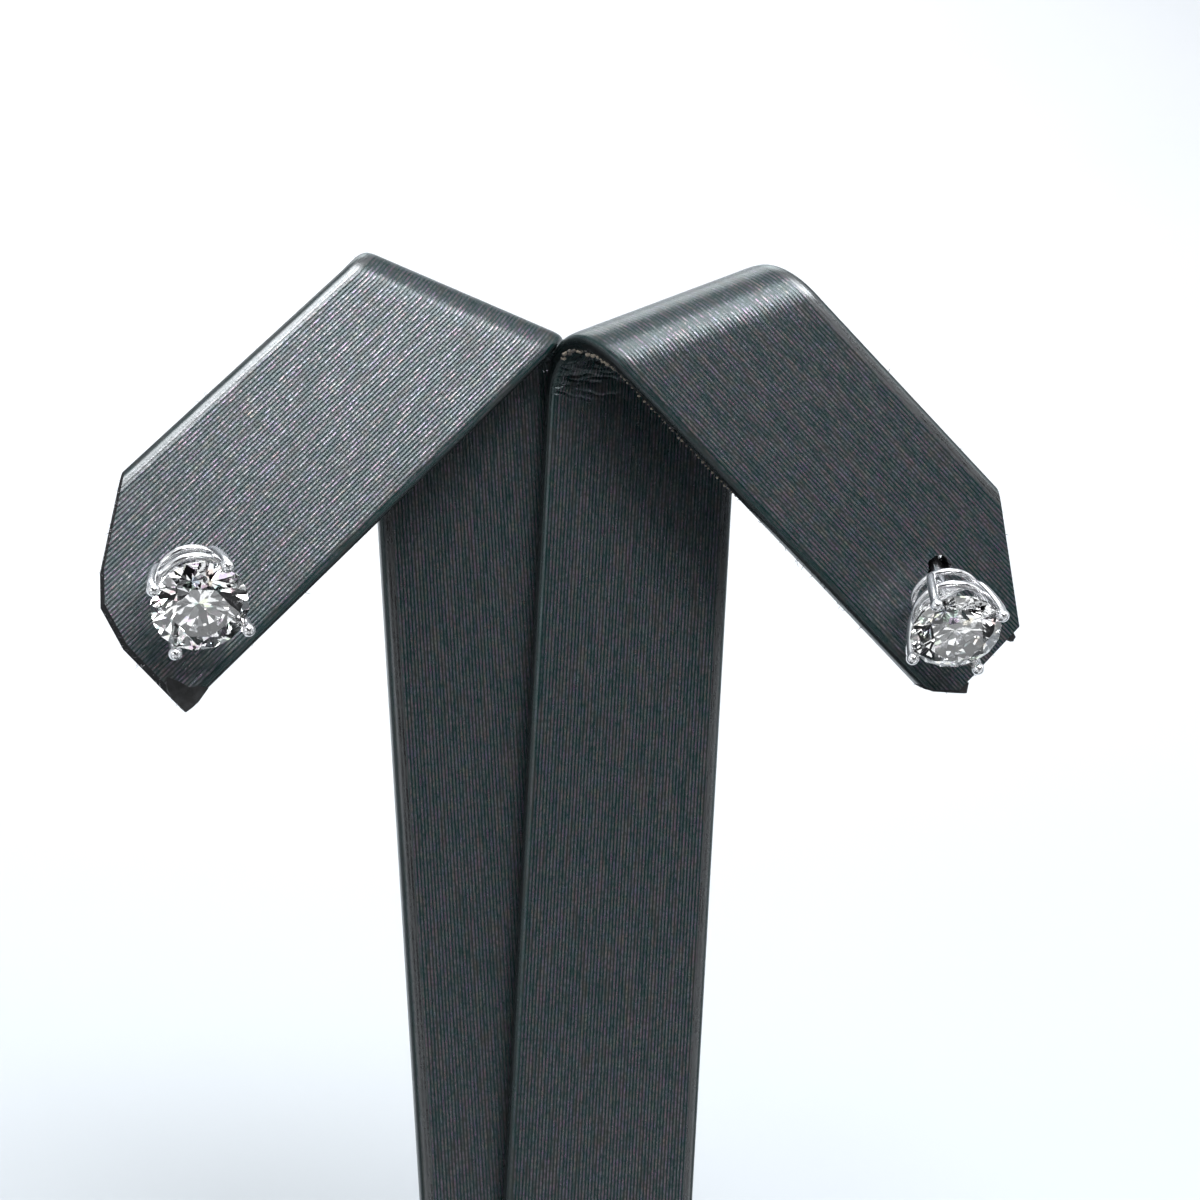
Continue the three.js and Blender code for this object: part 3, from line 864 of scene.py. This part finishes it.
class STAND_OT_frayed_edges(bpy.types.Operator):
    """Builds the knitted backing along the right strip's inner edge, the lint and the torn ends"""

    bl_idname = "stand.frayed_edges"
    bl_label = "Frayed edges"

    def execute(self, context):
        both = folds()
        self.backing(both["right"])
        self.lint(both)
        self.torn_ends(both)
        return {"FINISHED"}

    def backing(self, fold):
        rng = random.Random(21)
        bm = bmesh.new()
        along = 0.9
        while along < 19.0:
            stitch = LOOSE if along < 8 else TIGHT
            size = rng.uniform(*stitch["size"])
            across = -fold.half + rng.uniform(*stitch["out"]) * MM
            spot = fold.point(across, along * MM, fold.deep - rng.uniform(0.25, 0.5) * MM)
            shape = [rng.uniform(*share) for share in ((0.8, 1.4), (0.7, 1.1), (0.8, 1.2))]
            turn = Matrix.Rotation(rng.uniform(0, 3), 4, "X")
            place = Matrix.Translation(spot) @ turn @ Matrix.Diagonal((*shape, 1))
            bmesh.ops.create_icosphere(bm, subdivisions=1, radius=size * MM, matrix=place)
            along += rng.uniform(*stitch["step"])
        settle("knitted_backing", bm, [finish("Knitted backing")], sharp=80)

    def hair(self, bm, rng, root, out, reach, wire):
        """One short curved hair from root, leaning out, unless it would leave the part's box."""
        drift = any_way(rng)
        path = [root - out * 0.1 * MM]
        for i in range(1, 4):
            path.append(root + (out + drift * 0.35 * i) * (reach * MM * i / 3))
        low, high = CAD_BOX
        if any(p[i] - wire * MM < low[i] or p[i] + wire * MM > high[i] for p in path for i in range(3)):
            return
        sweep(bm, path, [wire * share * MM for share in (1, 0.9, 0.7, 0.4)], 4)

    def lint(self, both):
        rng = random.Random(33)
        dark, pale = bmesh.new(), bmesh.new()
        for side, edge, count in LINT:
            fold = both[side]
            for _ in range(count):
                along = rng.uniform(2, 33) * MM
                across = edge * fold.half
                root = fold.point(across - edge * 0.05 * MM, along, rng.uniform(-0.3, 0.5) * MM)
                out = (fold.point(across * 1.05, along) - fold.point(across, along)).normalized()
                self.hair(dark, rng, root, out, rng.uniform(0.08, 0.26), rng.uniform(0.014, 0.026))
        for side, fold in both.items():
            for (x0, y0), (x1, y1) in zip(fold.outline, fold.outline[1:]):
                span = math.hypot(x1 - x0, y1 - y0)
                normal = Vector((y0 - y1, x1 - x0)).normalized()
                for _ in range(round(span / MM * 4)):
                    share = rng.random()
                    x, y = x0 + (x1 - x0) * share, y0 + (y1 - y0) * share
                    depth = rng.uniform(-0.5, 0.6) * MM
                    root = fold.point(x, y, depth)
                    beyond = fold.point(x + normal.x * MM, y + normal.y * MM, depth)
                    out = (beyond - root).normalized()
                    chosen = pale if rng.random() < 0.35 else dark
                    self.hair(chosen, rng, root, out, rng.uniform(0.06, 0.2), rng.uniform(0.016, 0.028))
        settle("dark_lint", dark, [finish("Dark lint")], sharp=80)
        settle("white_fibres", pale, [finish("White fibres")], sharp=80)

    def torn_ends(self, both):
        rng = random.Random(8)
        bm = bmesh.new()
        for scrap in SCRAPS:
            self.scrap(bm, both[scrap["side"]], scrap["outline"], scrap["depth"], scrap["thick"], rng)
        settle("torn_wrap", bm, [finish("Torn wrap")], sharp=50)

    def scrap(self, bm, fold, outline, depth, thick, rng):
        """A small torn piece of the wrap. Only its own faces lie flat and far along, until folded."""
        level, far_along, shake = depth * MM, 30 * MM, 0.06 * MM
        face = bm.faces.new([bm.verts.new((x * MM, y * MM, level)) for x, y in outline])
        poked = bmesh.ops.poke(bm, faces=[face])["faces"]
        spokes = list(dict.fromkeys(e for f in poked for e in f.edges))
        bmesh.ops.subdivide_edges(bm, edges=spokes, cuts=1, use_grid_fill=True)
        sheet = [
            f for f in bm.faces
            if all(abs(v.co.z - level) < 1e-7 and v.co.y > far_along for v in f.verts)
        ]
        verts = list(dict.fromkeys(v for f in sheet for v in f.verts))
        top = verts_in(bmesh.ops.extrude_face_region(bm, geom=sheet)["geom"])
        bmesh.ops.translate(bm, verts=top, vec=(0, 0, thick * MM))
        for v in verts + top:
            v.co = fold.point(*(v.co + any_way(rng) * shake))
        bmesh.ops.recalc_face_normals(bm, faces=bm.faces[:])


# The base


class STAND_OT_base(bpy.types.Operator):
    """Builds the wrapped base with its two sockets and the felt under it"""

    bl_idname = "stand.base"
    bl_label = "Base"

    def execute(self, context):
        look = context.scene.stand
        bm = box(BASE_WIDTH, BASE_DEPTH, 0, BASE_HEIGHT)
        uprights = [e for e in bm.edges if self.rise(e) > MM]
        rounded(bm, uprights, BASE_CORNER, 10, "EDGES")
        rims = [e for e in bm.edges if self.rise(e) < 1e-6]
        rounded(bm, rims, BASE_BEVEL, 5, "EDGES")
        pieces = [mesh_of(bm, "block", wrapped())]
        clear = SOCKET_CLEARANCE
        width, thick = look.strip_width + 2 * clear, look.strip_thickness + 2 * clear
        for fold in folds().values():
            bm = box(width, thick, fold.foot - clear, 3 * SOCKET_DEPTH)
            for face in bm.faces:
                face.material_index = CORE
            bm.transform(fold.place)
            pieces.append(mesh_of(bm, "socket", wrapped()))
        bm = from_mesh(combine(pieces, "DIFFERENCE"))
        self.lay_out(bm)
        settle("base_wrap", bm, wrapped() + [finish("Base felt")], ("base",), 40)
        return {"FINISHED"}

    def rise(self, edge):
        return abs(edge.verts[0].co.z - edge.verts[1].co.z)

    def lay_out(self, bm):
        """The wrap's UV on the top and round the sides, and the felt's material underneath."""
        uv = bm.loops.layers.uv.new("Wrap")
        for face in bm.faces:
            normal = face.normal
            if normal.z < -0.9 and face.calc_center_median().z < 0.1 * MM:
                face.material_index = FELT
            for loop in face.loops:
                x, y, z = loop.vert.co
                if abs(normal.z) > 0.5:
                    loop[uv].uv = (x, y)
                elif abs(normal.x) > abs(normal.y):
                    loop[uv].uv = (z, y)
                else:
                    loop[uv].uv = (x, z)


# The studs


def hang(mesh, piece, solid, look, sharp, place):
    """Puts one piece at its place on both studs' axes."""
    for side, fold in folds().items():
        bm = from_mesh(mesh)
        bm.transform(place(Hanging(side, fold)))
        settle(f"{side}_{piece}", bm, [finish(look)], (f"{side}_{solid}",), sharp)


def at_girdle(hanging):
    return hanging.local(hanging.girdle, hanging.spin)


class STUD_OT_stones(bpy.types.Operator):
    """Cuts the two round brilliant stones facet by facet"""

    bl_idname = "stud.stones"
    bl_label = "Stones"

    def execute(self, context):
        stone = self.brilliant(context.scene.stud)
        hang(stone, "stone_cut", "stone", "Clear stone", 0.5, at_girdle)
        return {"FINISHED"}

    def brilliant(self, stud):
        radius = stud.stone / MM / 2
        table = radius * stud.table
        half_step = math.pi / 8
        flat = math.cos(half_step)
        top, bottom = GIRDLE / 2, -GIRDLE / 2
        table_z, culet = top + CROWN_HEIGHT, bottom - PAVILION_DEPTH
        star = table * flat + STAR_SHARE * (radius - table * flat)
        star_z = table_z - (star * flat - table) * CROWN_HEIGHT / (radius - table)
        lower = radius * LOWER_SHARE
        lower_z = culet + lower * flat * PAVILION_DEPTH / radius

        def at(r, angle, z):
            return Vector((r * math.cos(angle), r * math.sin(angle), z))

        def facet(a, b, c):
            normal = (b - a).cross(c - a).normalized()
            if normal.dot(a) < 0:
                normal.negate()
            slice_off(bm, a, normal, NEAR_MM)

        bm = rod(radius, 16, 12)
        slice_off(bm, (0, 0, table_z), (0, 0, 1), NEAR_MM)
        for i in range(8):
            a = i * math.pi / 4
            side_way = at(1, a + math.pi / 2, 0)
            facet(at(radius, a, top), at(table, a, table_z), at(radius, a, top) + side_way)
            facet(at(radius, a, bottom), at(0, a, culet), at(radius, a, bottom) + side_way)
        for i in range(16):
            a = i * half_step
            b = a + half_step
            middle = a if i % 2 else b
            facet(at(radius, a, top), at(radius, b, top), at(star, middle, star_z))
            facet(at(radius, a, bottom), at(radius, b, bottom), at(lower, middle, lower_z))
        for i in range(8):
            a = (i + 0.5) * math.pi / 4
            edge = [at(table, a + turn, table_z) for turn in (-half_step, half_step)]
            facet(*edge, at(star, a, star_z))
        return mesh_of(bm)


class STUD_OT_settings(bpy.types.Operator):
    """Builds the two prong settings with their rails and ear posts"""

    bl_idname = "stud.settings"
    bl_label = "Settings"

    def execute(self, context):
        basket = self.basket(context.scene.stud)
        hang(
            basket, "setting_metal", "setting", "Polished white metal", 42, at_girdle
        )
        return {"FINISHED"}

    def rail(self, radius, depth, wire):
        bm = bmesh.new()
        place = Matrix.Translation((radius, 0, -depth)) @ Matrix.Rotation(math.pi / 2, 4, "X")
        verts, edges = circle(bm, 14, wire / 2, place)
        return spun(bm, verts + edges, 80)

    def prong(self, stud, angle):
        wire, rail = stud.prong_wire / MM, stud.rail_wire / MM
        reach = stud.stone / MM / 2 + wire / 2 - PRONG_BITE
        out = REAR_RADIUS + rail / 2
        rear = BASKET_DEPTH + rail / 2
        keys = [
            (0.0, -rear), (out * 0.6, -rear + 0.1 * rail), (out, -BASKET_DEPTH + rail),
            ((out + reach) / 2 + 0.1 * wire, -BASKET_DEPTH / 2), (reach, -GIRDLE), (reach, TIP_HEIGHT),
        ]
        bm = bmesh.new()
        path = [Vector((r, 0, z)) for r, z in smooth_path(keys, 5)]
        radii = [wire / 2 * (1.0 - 0.1 * i / len(path)) for i in range(len(path))]
        sweep(bm, path, radii, 16)
        bm.transform(Matrix.Rotation(angle, 4, "Z"))
        return mesh_of(bm)

    def tip(self, stud, angle):
        bm = bmesh.new()
        reach = stud.stone / MM / 2 + stud.prong_wire / MM / 2 - PRONG_BITE
        bmesh.ops.create_uvsphere(bm, u_segments=24, v_segments=14, radius=stud.tip_ball / MM / 2)
        bm.transform(Matrix.Rotation(angle, 4, "Z") @ Matrix.Translation((reach, 0, TIP_HEIGHT)))
        return mesh_of(bm)

    def post(self, stud):
        """The ear post, with its catch groove and rounded end."""
        r, rear = stud.post / MM / 2, BASKET_DEPTH + stud.rail_wire / MM / 2
        end = -rear - stud.post_length / MM
        tip = [(0, 0), (0.55, 0.04), (0.88, 0.2), (1, 0.45)]
        groove = [(1, 1.5), (0.8, 1.68), (0.8, 1.95), (1, 2.1)]
        root = [(1, -0.35), (1.15, -0.2), (1.7, -0.02), (1.8, 0.15), (0, 0.2)]
        profile = [(share * r, end + z) for share, z in tip + groove]
        profile += [(share * r, -rear + z) for share, z in root]
        return turned(profile, 28)

    def seat(self, stud):
        """The space that the stone takes in the prongs."""
        radius, grow = stud.stone / MM / 2 + SEAT_PLAY, 0.05
        edge, top = GIRDLE / 2 + grow, GIRDLE / 2 + CROWN_HEIGHT + grow
        profile = [
            (0, -GIRDLE / 2 - PAVILION_DEPTH - 2 * grow), (radius, -edge), (radius, edge),
            (radius * stud.table + grow, top), (0, top),
        ]
        return turned(profile, 48)

    def basket(self, stud):
        wire = stud.rail_wire / MM
        pieces = [self.post(stud)]
        for i in range(4):
            pieces.append(self.prong(stud, math.pi / 2 * i))
            pieces.append(self.tip(stud, math.pi / 2 * i))
        pieces.append(self.rail(REAR_RADIUS, BASKET_DEPTH, wire))
        pieces.append(self.rail(MIDDLE_RADIUS, MIDDLE_DEPTH, wire))
        return combine([combine(pieces), self.seat(stud)], "DIFFERENCE")


def smooth_path(keys, steps):
    """A smooth curve through (radius, height) pairs."""
    points = [Vector(k) for k in keys]
    ends = [points[0] * 2 - points[1]] + points + [points[-1] * 2 - points[-2]]
    path = []
    for i in range(len(points) - 1):
        a, b, c, d = ends[i : i + 4]
        square, cube = 2 * a - 5 * b + 4 * c - d, 3 * b - a - 3 * c + d
        for k in range(steps):
            t = k / steps
            path.append(0.5 * (2 * b + (c - a) * t + square * t**2 + cube * t**3))
    return [(p.x, p.y) for p in path + [points[-1]]]


class STUD_OT_backs(bpy.types.Operator):
    """Builds the friction backs that hold the posts behind the wings"""

    bl_idname = "stud.backs"
    bl_label = "Friction backs"

    def execute(self, context):
        stud = context.scene.stud
        whole = combine([self.plate(stud), self.ear(1), self.ear(-1)])
        bore = mesh_of(rod(stud.post / MM / 2 + BORE_PLAY, 28, 9))
        hang(
            combine([whole, bore], "DIFFERENCE"), "back_metal", "friction_back",
            "Polished white metal", 42, lambda hanging: hanging.local(hanging.pad),
        )
        return {"FINISHED"}

    def plate(self, stud):
        """The round pad, with a rolled rim and a raised ring, and the hub."""
        r = stud.back / MM / 2
        rim = [
            (0.12, 0), (0.03, -0.05), (0, -0.14), (0, -0.26), (0.03, -0.35), (0.12, -0.4),
            (0.45, -0.34), (0.7, -0.3), (0.9, -0.36),
        ]
        hub = [(1.15, -0.38), (1.0, -0.5), (1.0, -2.2), (0.92, -2.36), (0.8, -2.4), (0, -2.4)]
        return turned([(0, 0)] + [(r - inward, z) for inward, z in rim] + hub, 56)

    def ear(self, side):
        """A band curled round beside the hub."""
        outer, band, width = 0.85, 0.32, 2.2
        hub, plate = 1.0, 0.4
        inner = outer - band
        bm = bmesh.new()
        start = math.radians(-120)
        section = ((inner, -width / 2), (outer, -width / 2), (outer, width / 2), (inner, width / 2))
        corners = [bm.verts.new((x * math.cos(start), y, x * math.sin(start))) for x, y in section]
        bm.faces.new(corners)
        rounded(bm, corners, 0.1, 3)
        bmesh.ops.spin(
            bm, geom=everything(bm), cent=(0, 0, 0), axis=(0, -1, 0), angle=math.radians(310), steps=40,
            use_merge=False, use_duplicate=False,
        )
        if side < 0:
            bm.transform(Matrix.Rotation(math.pi, 4, "Z"))
        beside = hub + outer - band / 2
        bm.transform(Matrix.Translation((side * beside, 0, -plate - outer + band / 2)))
        return mesh_of(bm)


# The stage


CAMERA_TARGET = Vector((6.5, 7, 63)) * MM
CAMERA_YAW, CAMERA_PITCH = math.radians(15.01), math.radians(14.48)
CAMERA_DISTANCE = 194.36 * MM
CAMERA_LENS = 81.2

# Square lamps that look at the studs, with their azimuth, elevation, distance, size and power.
# Azimuth 0 is in front, along -Y, and 90 is +X
LAMPS = (
    ("Key softbox", 30, 50, 0.6, 0.25, 1.95),
    ("Overhead softbox", 8, 64, 0.6, 0.36, 2.9),
    ("Front softbox", 12, 24, 0.6, 0.15, 0.1),
)

# Small lamps that the stones' facets pick up, as azimuth and elevation
SPARKLES = (
    (-75, 20), (-52, 48), (-38, 12), (-8, 38), (68, 6), (40, 4), (50, 20), (62, 34), (85, 55),
    (-20, 62),
)


def aim(obj, target):
    obj.rotation_euler = (Vector(target) - obj.location).to_track_quat("-Z", "Y").to_euler()


def softbox(name, azimuth, elevation, distance, size, power):
    light = bpy.data.lights.new(name, "AREA")
    light.shape, light.size, light.energy = "SQUARE", size, power
    obj = linked(name, light)
    a, e = math.radians(azimuth), math.radians(elevation)
    way = Vector((math.sin(a) * math.cos(e), -math.cos(a) * math.cos(e), math.sin(e)))
    obj.location = CAMERA_TARGET + way * distance
    aim(obj, CAMERA_TARGET)
    return obj


class STAND_OT_stage(bpy.types.Operator):
    """Sets up the pale floor and cove, the soft lights and the camera"""

    bl_idname = "stand.stage"
    bl_label = "Stage"

    def execute(self, context):
        scene = context.scene
        self.cove()
        self.surround(scene)
        for lamp in LAMPS:
            softbox(*lamp)
        back = softbox("Back softbox", 180, 60, 0.6, 0.5, 2.6)
        back.location = (0.0, 0.55, 0.55)
        aim(back, (0.0, 0.5, 0.0))
        for azimuth, elevation in SPARKLES:
            softbox("Sparkle lamp", azimuth, elevation, 0.7, 0.07, 0.05)
        lens = bpy.data.cameras.new("Camera")
        lens.lens, lens.sensor_width, lens.clip_start, lens.clip_end = CAMERA_LENS, 36.0, 0.001, 20.0
        camera = linked("Camera", lens)
        level, drop = math.cos(CAMERA_PITCH), -math.sin(CAMERA_PITCH)
        way = Vector((math.sin(CAMERA_YAW) * level, math.cos(CAMERA_YAW) * level, drop))
        camera.location = CAMERA_TARGET - way * CAMERA_DISTANCE
        aim(camera, CAMERA_TARGET)
        scene.camera = camera
        scene.view_settings.view_transform = "Standard"
        return {"FINISHED"}

    def cove(self):
        """A wide floor that curves up into a backdrop."""
        bm = bmesh.new()
        half_width = 1.8
        verts = [bm.verts.new((-half_width, y, z)) for y, z in ((-1.6, 0.0), (0.75, 0.0), (0.75, 1.4))]
        for a, b in zip(verts, verts[1:]):
            bm.edges.new((a, b))
        rounded(bm, [verts[1]], 0.4, 24)
        out = bmesh.ops.extrude_edge_only(bm, edges=bm.edges[:])["geom"]
        bmesh.ops.translate(bm, verts=verts_in(out), vec=(2 * half_width, 0, 0))
        bmesh.ops.recalc_face_normals(bm, faces=bm.faces[:])
        for face in bm.faces:
            face.smooth = True
        obj = linked("floor_cove", to_mesh(bm, "floor_cove", [self.floor()]))

    def floor(self):
        """A pale floor, with painted shade that makes it darker towards the front. In front of the
        stand, its reflections show dark and white cards instead.
        """
        material, n, shader = surface("Pale floor")
        spot = n.spot()
        soft = n.noise(spot, 6.0, 2.0)
        tone = n.mix(n.ramp(soft, 0.3, 0.7), (0.66, 0.69, 0.72), (0.69, 0.71, 0.735))
        depth = n.split(spot)[1]
        # Painted shade: the floor's colour darkens towards the front, for less light reaching the near
        # floor
        pale = n.mix(n.ramp(depth, -0.05, 0.4), (0.475, 0.51, 0.54), tone)
        seen = n.add("ShaderNodeLightPath").outputs["Is Camera Ray"]
        _, pick = n.cells(spot, 24.0)
        cards = n.mix(n.math("GREATER_THAN", pick[0], 0.53), (0.03, 0.032, 0.034), (0.58, 0.59, 0.6))
        plain = n.math("MAXIMUM", n.ramp(depth, -0.01, 0.02), seen)
        n.feed(shader.inputs["Base Color"], n.mix(plain, cards, pale))
        shader.inputs["Roughness"].default_value = 0.8
        return material

    def surround(self, scene):
        """Soft light from all round, with white panels in front and a dark patch by the camera."""
        world = bpy.data.worlds.new("Studio")
        scene.world = world
        world.use_nodes = True
        n = Nodes(world.node_tree)
        back = world.node_tree.nodes["Background"]
        way = n.add("ShaderNodeTexCoord").outputs["Generated"]
        depth = n.split(way)[1]
        room = n.mix(n.ramp(depth, -0.65, 0.2), (0.03, 0.032, 0.034), (0.88, 0.9, 0.92))
        _, pick = n.cells(way, 3.6)
        panels = n.math("MULTIPLY", n.math("GREATER_THAN", pick[0], 0.5), n.ramp(depth, 0.3, 0.0))
        lit = n.mix(panels, room, (1.5, 1.52, 1.55))
        dark_way = (0.165, -0.937, 0.309)
        product = n.add("ShaderNodeVectorMath", {0: way, 1: dark_way}, operation="DOT_PRODUCT")
        dark = n.ramp(product.outputs["Value"], 0.7, 0.84)
        reflected = n.mix(dark, lit, (0.008, 0.008, 0.009))
        seen = n.add("ShaderNodeLightPath").outputs["Is Camera Ray"]
        n.feed(back.inputs["Color"], n.mix(seen, reflected, (0.93, 0.95, 0.97)))
        back.inputs["Strength"].default_value = 1.0


class STAND_PT_panel(bpy.types.Panel):
    """Lists the steps that build the earrings and their stand"""

    bl_label = "Stud Earrings"
    bl_idname = "STAND_PT_panel"
    bl_space_type = "VIEW_3D"
    bl_region_type = "UI"
    bl_category = "Stud Earrings"

    def draw(self, context):
        layout = self.layout
        for step in STEPS:
            layout.operator(step.bl_idname)
        for owner in (context.scene.stand, context.scene.stud):
            box = layout.box()
            for key in owner.__annotations__:
                box.prop(owner, key)


STEPS = (
    STAND_OT_stage, STAND_OT_base, STAND_OT_strips, STAND_OT_frayed_edges, STUD_OT_stones,
    STUD_OT_settings, STUD_OT_backs,
)
CLASSES = (StandSettings, StudSettings) + STEPS + (STAND_PT_panel,)


def register():
    for one in CLASSES:
        bpy.utils.register_class(one)
    bpy.types.Scene.stand = bpy.props.PointerProperty(type=StandSettings)
    bpy.types.Scene.stud = bpy.props.PointerProperty(type=StudSettings)


def unregister():
    del bpy.types.Scene.stand
    del bpy.types.Scene.stud
    for one in reversed(CLASSES):
        bpy.utils.unregister_class(one)


def main():
    register()
    bpy.ops.stand.stage()
    bpy.ops.stand.base()
    bpy.ops.stand.strips()
    bpy.ops.stand.frayed_edges()
    bpy.ops.stud.stones()
    bpy.ops.stud.settings()
    bpy.ops.stud.backs()


if __name__ == "__main__":
    main()
